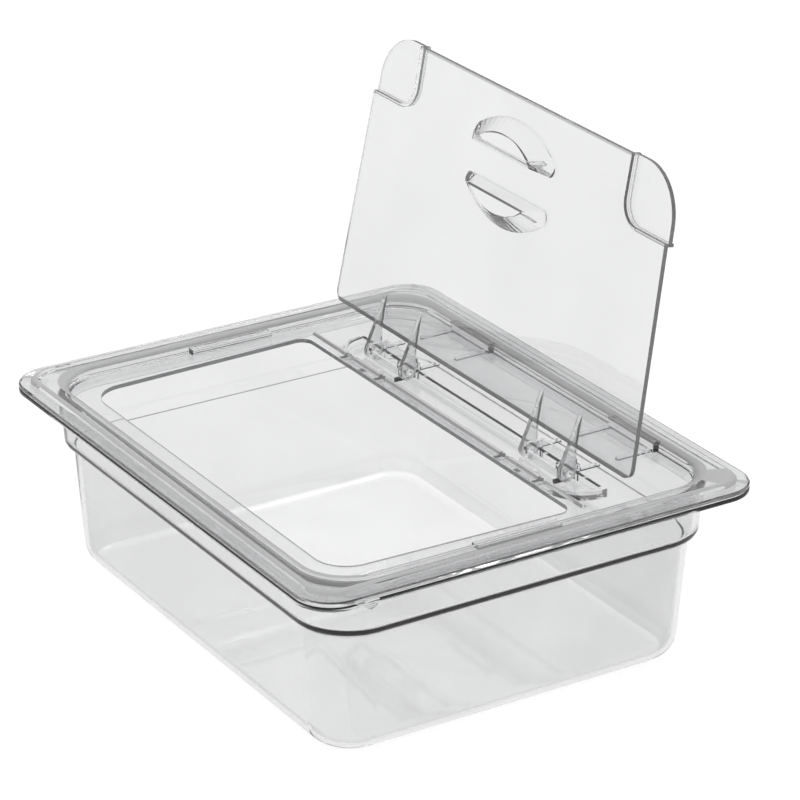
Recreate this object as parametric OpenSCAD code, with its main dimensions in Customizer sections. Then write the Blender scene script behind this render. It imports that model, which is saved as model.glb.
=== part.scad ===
// Clear deli food pan with a seated lid base and a hinged flip lid.
// Millimetres. Origin at the middle of the pan's underside, X along the hinge,
// Y towards the hinge side, Z up. Shown with the flip lid standing on its stop.

/* [Pan] */
// Length of the flange along the hinge
pan_length = 325; // [300:1:350]
// Width of the flange across the hinge
pan_width = 265; // [250:1:280]
// Height from the underside to the top of the flange
pan_height = 100; // [90:1:110]
// Wall thickness of the pan
wall = 2.6; // [2.2:0.1:3]
// Corner radius of the flange
flange_radius = 20; // [18:1:24]
// Height of the stacking shoulder
shoulder_height = 72; // [70:1:76]

/* [Lid base] */
// Top of the raised band above the pan flange
band_rise = 5.4; // [5:0.2:6.6]
// Half length of the serving window
window_half = 128.5; // [126:0.5:130]
// Front edge of the serving window
window_front = -101; // [-103:0.5:-99]
// Back edge of the serving window
window_back = 36.5; // [35:0.5:38]

/* [Flip lid] */
// Half length at the hinge edge
flap_half_hinge = 141.5; // [140:0.5:142]
// Half length at the free edge
flap_half_free = 135; // [133:0.5:137]
// Length from hinge edge to free edge
flap_length = 157.8; // [156:0.1:157.8]
// Thickness of the plate
flap_thickness = 2.5; // [2.2:0.1:2.8]
// Angle turned from closed to the open stop
open_angle = 100; // [98:0.5:102]

/* [Hinge] */
// Radius of the moulded pins
pin_radius = 2.0; // [1.8:0.1:2.2]
// Thickness of each hinge arm
arm_thickness = 3; // [2.6:0.1:3.2]

/* [Hidden] */
arc_steps = 14;
node_fn = 72;
eps = 0.02;
seat_gap = 0.3;
eye_clearance = 0.05;
eye_radius = pin_radius + eye_clearance;
pivot_y = 57.5;
pivot_z = 100.4;
floor_top = 99.5;
floor_thickness = 2.3;
floor_bottom = floor_top - floor_thickness;
flap_under = 103;
hinge_reach = 13.5;
flap_back = pivot_y - hinge_reach;
flap_front = flap_back - flap_length;
arm_spread = 35;
hinge_mid = 76.2;
hinge_middles = [-hinge_mid, hinge_mid];
arm_xs = [for (m = hinge_middles, s = [-1, 1]) m + s * arm_spread / 2];
foot_radius = 5;
spike_reach = 20.6;
flange_edge = 0.8;
fillet = 14;
collar_inset = 13.6;
collar_draft = 1.2;
shoulder_inset = 19.6;
base_inset = 22.8;

clear_pan_color = [0.88, 0.9, 0.92, 0.4];
clear_lid_color = [0.8, 0.84, 0.88, 0.5];
clear_flap_color = [0.84, 0.88, 0.92, 0.45];

// Corner points of a rounded rectangle standing inset from the flange edge.
function ring(inset, z, r) = [
    for (c = [0:3], i = [0:arc_steps])
        let (a = c * 90 + i * 90 / arc_steps,
             sx = (c == 0 || c == 3) ? 1 : -1,
             sy = c < 2 ? 1 : -1)
        [sx * (pan_length / 2 - inset - r) + r * cos(a),
         sy * (pan_width / 2 - inset - r) + r * sin(a), z]];

function ring_count() = 4 * (arc_steps + 1);

// Triangles between ring k and the next ring.
function band(k, next, n) = [
    for (i = [0:n - 1], t = [0:1])
        let (j = (i + 1) % n)
        t == 0 ? [k * n + i, next * n + i, next * n + j]
               : [k * n + i, next * n + j, k * n + j]];

// Solid from rings of [inset, height, radius]; closed rings make a frame.
module loft(rows, closed = false) {
    n = ring_count();
    m = len(rows);
    pts = [for (r = rows) each ring(r[0], r[1], r[2])];
    sides = [for (k = [0:m - 2]) each band(k, k + 1, n)];
    seam = band(m - 1, 0, n);
    first = [for (i = [0:n - 1]) i];
    last = [for (i = [0:n - 1]) (m - 1) * n + n - 1 - i];
    polyhedron(points = pts,
               faces = closed ? concat(sides, seam) : concat(sides, [first, last]));
}

// Flat rounded plate made of bars and round corners.
module rounded_plate(half_x, half_y, r, z0, z1) {
    translate([0, 0, z0])
        linear_extrude(z1 - z0) {
            square([2 * half_x, 2 * (half_y - r)], center = true);
            square([2 * (half_x - r), 2 * half_y], center = true);
            for (sx = [-1, 1], sy = [-1, 1])
                translate([sx * (half_x - r), sy * (half_y - r)])
                    circle(r, $fn = node_fn);
        }
}

// Plain block from two corners.
module block(x0, x1, y0, y1, z0, z1) {
    translate([x0, y0, z0])
        cube([x1 - x0, y1 - y0, z1 - z0]);
}

// Small half-round lug under the flange on each short side.
lug_radius = 4.2;
lug_inset = 3.6;
lug_y = -100;

// Well with a tapered body, stacking shoulder, upright collar and flat flange.
module pan() {
    body_radius = 25;
    inner_fillet = fillet - wall;
    base_radius = body_radius - fillet;
    outer_base = [for (t = [0:15:90])
        [base_inset + fillet * (1 - sin(t)), fillet * (1 - cos(t)),
         base_radius + fillet * sin(t)]];
    outer_top = [
        [shoulder_inset, shoulder_height - 3, body_radius + 1],
        [collar_inset + collar_draft + 1, shoulder_height, 29],
        [collar_inset + collar_draft, shoulder_height + 2, 30],
        [collar_inset, pan_height - 3.4, 30],
        [collar_inset - 1, pan_height - 2.5, 29],
        [flange_edge, pan_height - 2.5, flange_radius - flange_edge],
        [0, pan_height - 1.8, flange_radius],
        [0, pan_height - 0.7, flange_radius],
        [flange_edge, pan_height, flange_radius - flange_edge]];
    inner_top = [
        [collar_inset + wall - 0.8, pan_height, 28.5],
        [collar_inset + wall, pan_height - 0.8, 28],
        [collar_inset + wall + collar_draft, shoulder_height + 4.2, 28],
        [collar_inset + wall + collar_draft + 1, shoulder_height + 2.6, 27],
        [shoulder_inset + wall, shoulder_height - 1.4, body_radius - 1]];
    inner_base = [for (t = [90:-15:0])
        [base_inset + wall + inner_fillet * (1 - sin(t)),
         wall + inner_fillet * (1 - cos(t)), base_radius + inner_fillet * sin(t)]];
    color(clear_pan_color) {
        loft(concat(outer_base, outer_top, inner_top, inner_base));
        for (s = [-1, 1])
            difference() {
                translate([s * (pan_length / 2 - lug_inset), lug_y, pan_height - 2])
                    rotate([0, 90, 0])
                        cylinder(r = lug_radius, h = 1.8, center = true, $fn = node_fn);
                block(-pan_length, pan_length, lug_y - 10, lug_y + 10,
                      pan_height - 1.2, pan_height + 10);
            }
    }
}

// Raised rim band and the skirt that drops inside the pan collar.
module rim_frame() {
    top = pan_height + band_rise;
    lip = pan_height + seat_gap;
    loft([[0.8, lip, 19.2], [0, lip + 0.7, 20], [0, lip + 1.9, 20],
          [0.8, lip + 2.6, 19.2], [6.2, lip + 2.9, 14.5], [7, top - 1, 14.2],
          [7.8, top - 0.3, 14], [9.2, top, 14], [14.6, top, 23.5],
          [16.3, top - 0.3, 25], [17.5, top - 1.1, 26], [18.2, top - 2.3, 26.8],
          [18.4, top - 4, 27], [18.9, 92, 27], [18.6, 91.2, 27.2],
          [17.6, 91.2, 28], [17.1, 92, 28.4], [16.5, lip, 28.6], [16.2, top - 3.2, 28.6],
          [15, top - 2.2, 27], [9.6, top - 2.2, 17], [8.6, lip, 16]],
         closed = true);
}

// Window outline, slightly wider towards the back.
module window_cut() {
    front_r = 18;
    back_r = 7;
    hull() {
        for (s = [-1, 1]) {
            translate([s * (window_half - 2 - front_r), window_front + front_r, 90])
                cylinder(r = front_r, h = 20, $fn = node_fn);
            translate([s * (window_half + 1.5 - back_r), window_back - back_r, 90])
                cylinder(r = back_r, h = 20, $fn = node_fn);
        }
    }
}

// Long trough the hinge arms turn in, with swept front corners.
trough_front = 45.5;
trough_back = 64.5;
trough_half = 115;
trough_floor = 94.6;
module trough_plate(grow, z0, z1) {
    sweep = trough_back - trough_front + grow;
    middle = trough_half + grow - sweep;
    translate([0, trough_back, z0])
        linear_extrude(z1 - z0)
            intersection() {
                union() {
                    square([2 * middle, 2 * sweep], center = true);
                    for (s = [-1, 1])
                        translate([s * middle, 0])
                            circle(sweep, $fn = 2 * node_fn);
                }
                translate([-2 * trough_half, -2 * sweep])
                    square([4 * trough_half, 2 * sweep + grow]);
            }
}

// Open stepped bracket between two arms with a stub pin on each end wall.
bracket_front = 53.8;
bracket_back = 65.5;
bracket_top = 105.4;
step_front = 50.6;
step_top = 97.6;
module hinge_bracket(mid_x) {
    half = arm_spread / 2 - arm_thickness / 2 - 0.4;
    pin_out = arm_thickness + 1.3;
    side = 2.4;
    bottom = trough_floor - 1;
    difference() {
        union() {
            block(mid_x - half, mid_x + half, bracket_front, bracket_back, bottom, bracket_top);
            block(mid_x - half, mid_x + half, step_front, bracket_front + 1, bottom, step_top);
        }
        block(mid_x - half + side, mid_x + half - side, bracket_front + 1.8,
              bracket_back - 1.6, trough_floor + 1, bracket_top + 1);
        block(mid_x - half + side, mid_x + half - side, bracket_front - 1,
              bracket_front + 4, 101.6, bracket_top + 1);
    }
    for (s = [-1, 1])
        translate([mid_x + s * (half - side), pivot_y, pivot_z])
            rotate([0, s * 90, 0])
                cylinder(r = pin_radius, h = side + pin_out, $fn = node_fn);
}

// Narrow bead along the bar between the window and the trough.
bead_half = 131;
bead_y = 42.6;
bead_radius = 1.4;

// Notch in the bar that lets a closed arm pass.
module arm_notch(x) {
    half = arm_thickness / 2 + 1.2;
    block(x - half, x + half, bead_y - 5, bead_y + 1, 98.1, 106);
    block(x - half, x + half, bead_y + 0.8, trough_front + 1, 97.5, 106);
}

// Frame seated on the pan with window, bar, trough, panel and hinge brackets.
module lid_base() {
    color(clear_lid_color)
        difference() {
            union() {
                rim_frame();
                difference() {
                    rounded_plate(145, 115, 27, floor_bottom, floor_top);
                    window_cut();
                    trough_plate(0, 90, 110);
                }
                difference() {
                    trough_plate(2.2, trough_floor - 2.2, floor_top - eps);
                    trough_plate(0, trough_floor, 110);
                }
                translate([-bead_half, bead_y, floor_top])
                    rotate([0, 90, 0])
                        cylinder(r = bead_radius, h = 2 * bead_half, $fn = node_fn);
                for (m = hinge_middles) {
                    hinge_bracket(m);
                    block(m - 19.5, m + 19.5, 110.5, 115.2, floor_top - 1, pan_height + band_rise - 0.3);
                }
                for (x = arm_xs) {
                    block(x - 1, x + 1, 66, 78, floor_top - 1, 101.2);
                    block(x - 1, x + 1, 90, 111, floor_top - 1, 101.2);
                    block(x - 0.9, x + 0.9, 63.5, 65.5, trough_floor - 1, 103.6);
                }
                for (s = [-1, 1])
                    block(s * 142.5 - 3, s * 142.5 + 3, -30, 20, floor_top - 1, 102.7);
            }
            for (x = arm_xs)
                arm_notch(x);
        }
}

// Outline of the flap plate, closed position.
module flap_outline(z0, z1) {
    free_r = 28;
    hinge_r = 6;
    hull() {
        for (s = [-1, 1]) {
            translate([s * (flap_half_free - free_r), flap_front + free_r, z0])
                cylinder(r = free_r, h = z1 - z0, $fn = node_fn);
            translate([s * (flap_half_hinge - hinge_r), flap_back - hinge_r, z0])
                cylinder(r = hinge_r, h = z1 - z0, $fn = node_fn);
        }
    }
}

// Free corner of the flap; grow widens it for the boundary wall.
pad_x = 96;
pad_y = -77;
pad_radius = 14;
module pad_zone(s, grow, z0, z1) {
    inner_x = pad_x - grow;
    inner_y = pad_y + grow;
    r = pad_radius + grow;
    far_x = 150;
    translate([0, 0, z0])
        linear_extrude(z1 - z0) {
            polygon([[s * (inner_x + r), inner_y], [s * far_x, inner_y],
                     [s * far_x, -130], [s * (inner_x + r), -130]]);
            polygon([[s * inner_x, inner_y - r], [s * far_x, inner_y - r],
                     [s * far_x, -130], [s * inner_x, -130]]);
            translate([s * (inner_x + r), inner_y - r])
                circle(r, $fn = node_fn);
        }
}

// D outline: straight side on the X axis from -half to half, bulging to width.
function d_outline(half, width, steps = 20) =
    let (radius = (half * half + width * width) / (2 * width),
         sweep = asin(half / radius))
    [for (i = [0:steps])
        let (a = 90 - sweep + 2 * sweep * i / steps)
        [radius * cos(a), width - radius + radius * sin(a)]];

// D-shaped bowl from a wide outline at z_top to a small one at z_low.
module dent(y0, dir, wide, small, draft, z_low, z_top) {
    skin = 0.1;
    hull() {
        translate([0, y0, z_top - skin])
            scale([1, dir, 1])
                linear_extrude(skin)
                    offset(r = dent_corner, $fn = node_fn / 2)
                        offset(delta = -dent_corner)
                            polygon(d_outline(wide[0], wide[1]));
        translate([0, y0 + dir * draft, z_low])
            scale([1, dir, 1])
                linear_extrude(skin)
                    polygon(d_outline(small[0], small[1]));
    }
}

dent_flats = [[-62.3, 1], [-82.6, -1]];
dent_wide = [43, 18];
dent_corner = 4.5;
dent_small = [25, 8];
dent_depth = 8;
dent_draft = 2.6;

// Hinge arm: round foot about the pin, tapering to a spike along the plate.
module hinge_arm(x) {
    plate_y = flap_back - spike_reach;
    tip = [plate_y - pivot_y, flap_under + 0.4 - pivot_z];
    heel = [flap_back - pivot_y + 1, flap_under + 0.4 - pivot_z];
    reach = norm(tip);
    low = atan2(tip[1], tip[0]) + acos(foot_radius / reach);
    high = atan2(heel[1], heel[0]) - acos(foot_radius / norm(heel));
    difference() {
        translate([x - arm_thickness / 2, pivot_y, pivot_z])
            rotate([90, 0, 90])
                linear_extrude(arm_thickness) {
                    circle(foot_radius, $fn = node_fn);
                    polygon([tip, heel,
                             foot_radius * [cos(high), sin(high)], [0, 0],
                             foot_radius * [cos(low), sin(low)]]);
                }
        translate([x - arm_thickness, pivot_y, pivot_z])
            rotate([0, 90, 0])
                cylinder(r = eye_radius, h = 2 * arm_thickness, $fn = node_fn);
    }
}

// Flap with corner pads, finger dents and four hinge arms, closed position.
module flap_closed() {
    top = flap_under + flap_thickness;
    difference() {
        union() {
            difference() {
                flap_outline(flap_under, top);
                for (s = [-1, 1])
                    pad_zone(s, 0, flap_under - 1, top + 1);
            }
            intersection() {
                flap_outline(flap_under, top + 4);
                for (s = [-1, 1]) {
                    pad_zone(s, 0, top, top + 2.4);
                    difference() {
                        pad_zone(s, 0, flap_under, top + 3.4);
                        pad_zone(s, -1.8, flap_under - 1, top + 5);
                    }
                }
            }
            for (d = dent_flats)
                dent(d[0] - 1.6 * d[1], d[1], dent_wide + [2.4, 3], dent_small + [1.6, 2.6],
                     dent_draft, flap_under - dent_depth, flap_under + 0.6);
        }
        for (d = dent_flats)
            dent(d[0], d[1], dent_wide, dent_small, dent_draft,
                 flap_under - dent_depth + 1.8, top + 0.1);
    }
    for (x = arm_xs)
        hinge_arm(x);
}

// Flip lid standing open on its stop.
module flip_lid() {
    color(clear_flap_color)
        translate([0, pivot_y, pivot_z])
            rotate([-open_angle, 0, 0])
                translate([0, -pivot_y, -pivot_z])
                    flap_closed();
}

pan();
lid_base();
flip_lid();
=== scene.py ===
"""Looks of the clear deli food pan: pan, lid base and flip lid in clear plastic on a pale floor."""

import math

import bmesh
import bpy
from mathutils import Matrix, Vector


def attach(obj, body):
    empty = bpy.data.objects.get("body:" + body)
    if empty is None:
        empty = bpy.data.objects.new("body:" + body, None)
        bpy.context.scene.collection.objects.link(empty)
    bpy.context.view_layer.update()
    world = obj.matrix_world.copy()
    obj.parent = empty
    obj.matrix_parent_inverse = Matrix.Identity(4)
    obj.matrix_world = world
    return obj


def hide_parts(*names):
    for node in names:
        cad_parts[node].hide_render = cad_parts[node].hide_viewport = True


# Camera at the fitted viewing angle (degrees, metres)
CAMERA_AZIMUTH = 57.77
CAMERA_ELEVATION = 23.96
CAMERA_ROLL = 0.24
CAMERA_DISTANCE = 1.93011
CAMERA_RIGHT = 0.01387
CAMERA_UP = 0.05383
CAMERA_AIM = Vector((0.0, 0.0, 0.060))
CAMERA_SENSOR = 36.0
CAMERA_LENS = 3663.29 / 800.0 * CAMERA_SENSOR
CAMERA_CLIP = (0.05, 50.0)

# Floor, surroundings and lamp
FLOOR_HALF = 12.0
FLOOR_Z = -0.0008
FLOOR_GREY = 0.16
FLOOR_GLOW = 0.92
SIDE_LIGHT = (0.0, (0.32, 0.32, 0.33, 1.0))
OVERHEAD_LIGHT = (0.5, (0.9, 0.9, 0.9, 1.0))
KEY_PLACE = (-0.9, 1.1, 1.6)
KEY_TARGET = (0.0, 0.0, 0.05)
KEY_SIZE = (0.5, 0.5)
KEY_POWER = 4.0

# Surface detail shared by every plastic: (ramp position, share of the colour)
IOR = 1.5
CLOUD_SCALE = 14.0
CLOUD_DETAIL = 3.0
CLOUD_STOPS = ((0.3, 0.965), (0.7, 1.02))
SURFACE_DETAIL = 2.0
RIPPLE_SCALE = 45.0
RIPPLE_DEPTH = 0.00006
RIPPLE_STRENGTH = 0.5
GRAIN_SCALE = 1600.0
GRAIN_DEPTH = 0.0001

# Plastics of each piece, in slot order: name, colour, roughness, transmission, grain
PAN_PLASTICS = (
    ("clear_pan_plastic", (0.79, 0.792, 0.795), 0.0, 1.0, 0.0),
    # bottom plate: same plastic as the walls, tinted lighter as painted light
    ("pan_base_painted_light", (0.96, 0.962, 0.965), 0.0, 1.0, 0.0),
)
LID_PLASTICS = (
    ("clear_lid_plastic", (0.93, 0.932, 0.935), 0.0, 0.97, 0.0),
    # rim band: frosted surface is real; its grey is painted shade of the stacked rim and flange
    ("frosted_lid_painted_shade", (0.57, 0.572, 0.575), 0.45, 0.15, 0.35),
    # window edge painted dark: painted shade for the dark refraction line
    ("lid_edge_painted_shade", (0.25, 0.255, 0.26), 0.1, 0.3, 0.0),
    ("lid_bead_plastic", (0.76, 0.762, 0.765), 0.15, 0.5, 0.0),
)
FLAP_PLASTICS = (
    ("clear_flap_plastic", (0.83, 0.832, 0.835), 0.0, 0.93, 0.0),
    # flap outline and free-edge strip painted grey: painted shade for the refraction lines
    ("flap_edge_painted_shade", (0.55, 0.552, 0.555), 0.1, 0.8, 0.0),
    # hinge edge and strip painted dark: painted shade
    ("flap_hinge_edge_painted_shade", (0.27, 0.271, 0.272), 0.1, 0.35, 0.0),
    # hinge arms made milky and bright: painted light
    ("flap_arm_painted_light", (0.95, 0.952, 0.955), 0.0, 0.8, 0.0),
)
PAN_BASE_PAINTED_LIGHT = 1
LID_FROSTED_SHADED = 1
LID_EDGE_PAINTED_SHADE = 2
LID_BEAD = 3
FLAP_EDGE_PAINTED_SHADE = 1
FLAP_HINGE_EDGE_PAINTED_SHADE = 2
FLAP_ARM_PAINTED_LIGHT = 3

# Mesh clean-up and edge rounding
MERGE_DISTANCE = 2e-6
FLAT_ANGLE = math.radians(0.6)
SHARP_ANGLE = math.radians(30)
BEVEL_ANGLE = math.radians(35)
BEVEL_SEGMENTS = 2
PAN_BEVEL = 0.0
LID_BEVEL = 0.0003
FLAP_BEVEL = 0.0004

# Where the pan's bottom plate is
PAN_BASE_TOP = 0.004
PAN_BASE_LEVEL = 0.9

# Flange outline, rim band, window edge and bead on the lid base
HALF_LENGTH = 0.1625
HALF_WIDTH = 0.1325
BAND_LOW = 0.1024
BAND_SLOPE = 0.02
BAND_OUTER = 0.0066
BAND_INNER = 0.0186
CORNER_X = 0.117
CORNER_Y = 0.087
EDGE_SLOPE = 0.2
WINDOW_EDGE_LOW = 0.0969
WINDOW_EDGE_HIGH = 0.0996
WINDOW_EDGE_INSET = 0.025
WINDOW_EDGE_BACK = 0.0368
BEAD_HALF = 0.124
BEAD_FRONT = 0.0370
BEAD_BACK = 0.0448
BEAD_LOW = 0.0972
BEAD_FLAT = 0.98

# Flip lid at rest: the open plate leans back past upright
OPEN_TILT = math.radians(80)
FLAP_NORMAL = Vector((0, -math.sin(OPEN_TILT), math.cos(OPEN_TILT)))
FLAP_UP = Vector((0, math.cos(OPEN_TILT), math.sin(OPEN_TILT)))
HINGE_EDGE_LOW = 0.108
HINGE_EDGE_HIGH = 0.12
HINGE_EDGE_DOWN = -0.8
PLATE_FACING = 0.9
ARM_FACING = 0.97
STRIP_SLACK = 0.0002
HINGE_STRIP = 0.0012
FREE_STRIP = 0.0014
FREE_STRIP_HALF = 0.1015
OUTLINE_X = 0.128
OUTLINE_END = 0.008
ARM_INNER = 0.0567
ARM_OUTER = 0.0957
ARM_TOP = 0.1225


def add_noise(nodes, links, coords, scale, detail):
    """Noise texture in object space."""
    noise = nodes.new("ShaderNodeTexNoise")
    noise.inputs["Scale"].default_value = scale
    noise.inputs["Detail"].default_value = detail
    links.new(coords.outputs["Object"], noise.inputs["Vector"])
    return noise


def clear_material(name, color, roughness, transmission, grain):
    """Clear or lightly frosted moulded plastic, with faint flow clouds and ripple."""
    material = bpy.data.materials.new(name)
    material.use_nodes = True
    nodes = material.node_tree.nodes
    links = material.node_tree.links
    shader = nodes["Principled BSDF"]
    shader.inputs["Roughness"].default_value = roughness
    shader.inputs["IOR"].default_value = IOR
    shader.inputs["Transmission Weight"].default_value = transmission
    coords = nodes.new("ShaderNodeTexCoord")

    clouds = add_noise(nodes, links, coords, CLOUD_SCALE, CLOUD_DETAIL)
    tint = nodes.new("ShaderNodeValToRGB")
    for element, (position, share) in zip(tint.color_ramp.elements, CLOUD_STOPS):
        element.position = position
        element.color = (*(min(channel * share, 1.0) for channel in color), 1.0)
    links.new(clouds.outputs["Fac"], tint.inputs["Fac"])
    links.new(tint.outputs["Color"], shader.inputs["Base Color"])

    scale = GRAIN_SCALE if grain else RIPPLE_SCALE
    surface = add_noise(nodes, links, coords, scale, SURFACE_DETAIL)
    bump = nodes.new("ShaderNodeBump")
    bump.inputs["Strength"].default_value = grain if grain else RIPPLE_STRENGTH
    bump.inputs["Distance"].default_value = GRAIN_DEPTH if grain else RIPPLE_DEPTH
    links.new(surface.outputs["Fac"], bump.inputs["Height"])
    links.new(bump.outputs["Normal"], shader.inputs["Normal"])
    return material


def piece_from_node(node, name, bevel, plastics):
    """A free copy of a CAD node's mesh, cleaned for smooth glass shading."""
    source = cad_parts[node]
    mesh = source.data.copy()
    mesh.name = name
    work = bmesh.new()
    work.from_mesh(mesh)
    bmesh.ops.remove_doubles(work, verts=work.verts, dist=MERGE_DISTANCE)
    bmesh.ops.dissolve_limit(work, angle_limit=FLAT_ANGLE, verts=work.verts, edges=work.edges)
    bmesh.ops.recalc_face_normals(work, faces=work.faces)
    work.to_mesh(mesh)
    work.free()
    mesh.materials.clear()
    for plastic in plastics:
        mesh.materials.append(clear_material(*plastic))
    obj = bpy.data.objects.new(name, mesh)
    bpy.context.scene.collection.objects.link(obj)
    obj.matrix_world = source.matrix_world.copy()
    if "custom_normal" in mesh.attributes:
        mesh.attributes.remove(mesh.attributes["custom_normal"])
    mesh.shade_smooth()
    mesh.set_sharp_from_angle(angle=SHARP_ANGLE)
    if bevel:
        rounding = obj.modifiers.new("edges", "BEVEL")
        rounding.width = bevel
        rounding.segments = BEVEL_SEGMENTS
        rounding.limit_method = "ANGLE"
        rounding.angle_limit = BEVEL_ANGLE
        rounding.use_clamp_overlap = True
    weighting = obj.modifiers.new("normals", "WEIGHTED_NORMAL")
    weighting.mode = "FACE_AREA"
    weighting.weight = 100
    weighting.keep_sharp = True
    return obj


def tint_pan(mesh):
    """Lighter tint on the pan's bottom plate: painted light, so the floor seen through it stays
    bright.
    """
    for face in mesh.polygons:
        # bottom plate faces get the lighter tint: painted light
        if face.center.z < PAN_BASE_TOP and abs(face.normal.z) > PAN_BASE_LEVEL:
            face.material_index = PAN_BASE_PAINTED_LIGHT


def tint_lid(mesh):
    """Frosted rim band greyed with painted shade, window edge painted dark as shade, and denser
    bead on the lid base.
    """
    for face in mesh.polygons:
        centre = face.center
        slope = abs(face.normal.z)
        inset = min(HALF_LENGTH - abs(centre.x), HALF_WIDTH - abs(centre.y))
        at_corner = abs(centre.x) > CORNER_X and abs(centre.y) > CORNER_Y
        on_top = centre.z > BAND_LOW and face.normal.z > BAND_SLOPE and inset > BAND_OUTER
        at_floor = WINDOW_EDGE_LOW < centre.z < WINDOW_EDGE_HIGH and inset > WINDOW_EDGE_INSET
        if on_top:
            # frosted rim band, greyed with painted shade
            if inset < BAND_INNER or at_corner:
                face.material_index = LID_FROSTED_SHADED
        # window edge faces painted dark as shade
        elif slope < EDGE_SLOPE and at_floor and centre.y < WINDOW_EDGE_BACK:
            face.material_index = LID_EDGE_PAINTED_SHADE
        on_bead = abs(centre.x) < BEAD_HALF and BEAD_FRONT < centre.y < BEAD_BACK
        if on_bead and centre.z > BEAD_LOW and slope < BEAD_FLAT:
            face.material_index = LID_BEAD


def is_hinge_edge(face):
    """The plate's edge that faces down over the hinge."""
    return face.normal.z < HINGE_EDGE_DOWN and HINGE_EDGE_LOW < face.center.z < HINGE_EDGE_HIGH


def tint_flap(mesh):
    """Painted shade on the outline and on strips along the hinge and free edges, and painted light
    on milkier arms.
    """
    start = next(face for face in mesh.polygons if is_hinge_edge(face)).center.copy()
    free_end = max((vertex.co - start).dot(FLAP_UP) for vertex in mesh.vertices)
    work = bmesh.new()
    work.from_mesh(mesh)
    for height in (HINGE_STRIP, free_end - FREE_STRIP):
        bmesh.ops.bisect_plane(
            work,
            geom=list(work.verts) + list(work.edges) + list(work.faces),
            plane_co=start + FLAP_UP * height,
            plane_no=FLAP_UP,
        )
    work.to_mesh(mesh)
    work.free()
    for face in mesh.polygons:
        centre = face.center
        side = abs(centre.x)
        facing = abs(face.normal.dot(FLAP_NORMAL))
        height = (centre - start).dot(FLAP_UP)
        on_edge = facing < EDGE_SLOPE
        on_plate = facing > PLATE_FACING
        # hinge edge face painted dark as shade
        if on_edge and is_hinge_edge(face):
            face.material_index = FLAP_HINGE_EDGE_PAINTED_SHADE
        # outline edge faces painted grey as shade
        elif on_edge and (side > OUTLINE_X or height > free_end - OUTLINE_END):
            face.material_index = FLAP_EDGE_PAINTED_SHADE
        # strip along the hinge painted dark as shade
        elif on_plate and -STRIP_SLACK < height < HINGE_STRIP:
            face.material_index = FLAP_HINGE_EDGE_PAINTED_SHADE
        # strip along the free edge painted grey as shade
        elif on_plate and height > free_end - FREE_STRIP and side < FREE_STRIP_HALF:
            face.material_index = FLAP_EDGE_PAINTED_SHADE
        # arm faces get the milky tint: painted light
        elif ARM_INNER < side < ARM_OUTER and centre.z < ARM_TOP and facing < ARM_FACING:
            face.material_index = FLAP_ARM_PAINTED_LIGHT


def camera_for_photo():
    """Camera at the fitted viewing angle."""
    azimuth = math.radians(CAMERA_AZIMUTH)
    elevation = math.radians(CAMERA_ELEVATION)
    roll = math.radians(CAMERA_ROLL)
    back = Vector((
        math.sin(azimuth) * math.cos(elevation),
        -math.cos(azimuth) * math.cos(elevation),
        math.sin(elevation),
    ))
    forward = -back
    right = forward.cross(Vector((0, 0, 1))).normalized()
    up = right.cross(forward)
    turned_right = right * math.cos(roll) + up * math.sin(roll)
    turned_up = up * math.cos(roll) - right * math.sin(roll)
    place = (
        CAMERA_AIM
        + back * CAMERA_DISTANCE
        + turned_right * CAMERA_RIGHT
        + turned_up * CAMERA_UP
    )
    data = bpy.data.cameras.new("camera")
    data.lens = CAMERA_LENS
    data.sensor_width = CAMERA_SENSOR
    data.clip_start, data.clip_end = CAMERA_CLIP
    obj = bpy.data.objects.new("camera", data)
    matrix = Matrix((turned_right, turned_up, back)).transposed().to_4x4()
    matrix.translation = place
    obj.matrix_world = matrix
    bpy.context.scene.collection.objects.link(obj)
    bpy.context.scene.camera = obj


def soft_key():
    """Large soft lamp facing the object."""
    data = bpy.data.lights.new("soft_key", "AREA")
    data.shape = "RECTANGLE"
    data.size, data.size_y = KEY_SIZE
    data.energy = KEY_POWER
    obj = bpy.data.objects.new("soft_key", data)
    direction = Vector(KEY_TARGET) - Vector(KEY_PLACE)
    obj.location = KEY_PLACE
    obj.rotation_euler = direction.to_track_quat("-Z", "Y").to_euler()
    bpy.context.scene.collection.objects.link(obj)


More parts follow.
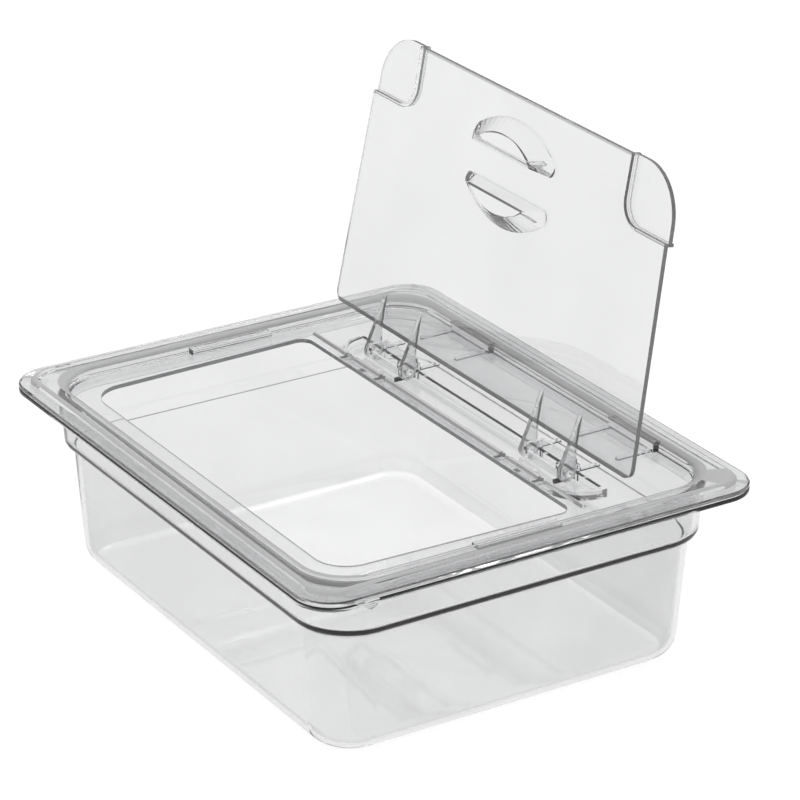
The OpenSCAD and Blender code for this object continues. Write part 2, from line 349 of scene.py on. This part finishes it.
def pale_floor():
    """Plain pale floor that shows white."""
    mesh = bpy.data.meshes.new("floor")
    corners = ((-1, -1), (1, -1), (1, 1), (-1, 1))
    mesh.from_pydata(
        [(x * FLOOR_HALF, y * FLOOR_HALF, FLOOR_Z) for x, y in corners], [], [(0, 1, 2, 3)]
    )
    material = bpy.data.materials.new("floor_white")
    material.use_nodes = True
    shader = material.node_tree.nodes["Principled BSDF"]
    shader.inputs["Base Color"].default_value = (FLOOR_GREY, FLOOR_GREY, FLOOR_GREY, 1.0)
    shader.inputs["Roughness"].default_value = 0.9
    shader.inputs["Specular IOR Level"].default_value = 0.0
    shader.inputs["Emission Color"].default_value = (1.0, 1.0, 1.0, 1.0)
    shader.inputs["Emission Strength"].default_value = FLOOR_GLOW
    mesh.materials.append(material)
    obj = bpy.data.objects.new("floor", mesh)
    bpy.context.scene.collection.objects.link(obj)


def studio_world():
    """Soft surroundings: light overhead, greyer towards the sides."""
    world = bpy.data.worlds.new("studio")
    bpy.context.scene.world = world
    world.use_nodes = True
    nodes = world.node_tree.nodes
    links = world.node_tree.links
    background = nodes["Background"]
    coords = nodes.new("ShaderNodeTexCoord")
    split = nodes.new("ShaderNodeSeparateXYZ")
    ramp = nodes.new("ShaderNodeValToRGB")
    links.new(coords.outputs["Generated"], split.inputs[0])
    links.new(split.outputs["Z"], ramp.inputs[0])
    links.new(ramp.outputs[0], background.inputs["Color"])
    for element, (position, color) in zip(ramp.color_ramp.elements, (SIDE_LIGHT, OVERHEAD_LIGHT)):
        element.position = position
        element.color = color
    background.inputs["Strength"].default_value = 1.0


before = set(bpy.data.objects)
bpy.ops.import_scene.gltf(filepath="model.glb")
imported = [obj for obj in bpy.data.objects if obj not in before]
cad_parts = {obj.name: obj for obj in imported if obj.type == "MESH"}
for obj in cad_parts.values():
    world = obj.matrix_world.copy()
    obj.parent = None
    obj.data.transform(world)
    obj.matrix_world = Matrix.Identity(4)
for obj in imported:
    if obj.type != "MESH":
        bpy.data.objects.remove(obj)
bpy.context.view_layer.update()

pan = piece_from_node("pan", "pan_shell", PAN_BEVEL, PAN_PLASTICS)
lid = piece_from_node("lid_base", "lid_frame", LID_BEVEL, LID_PLASTICS)
flap = piece_from_node("flip_lid", "flip_flap", FLAP_BEVEL, FLAP_PLASTICS)
tint_pan(pan.data)
tint_lid(lid.data)
tint_flap(flap.data)

for piece, node, slot in (
    (pan, "pan", "clear_pan"),
    (lid, "lid_base", "clear_lid"),
    (flap, "flip_lid", "clear_flap"),
):
    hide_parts(node)
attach(pan, "pan_body")
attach(lid, "lid_base_body")
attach(flap, "flip_lid_body")

pale_floor()
studio_world()
soft_key()
camera_for_photo()
bpy.context.scene.view_settings.view_transform = "Standard"
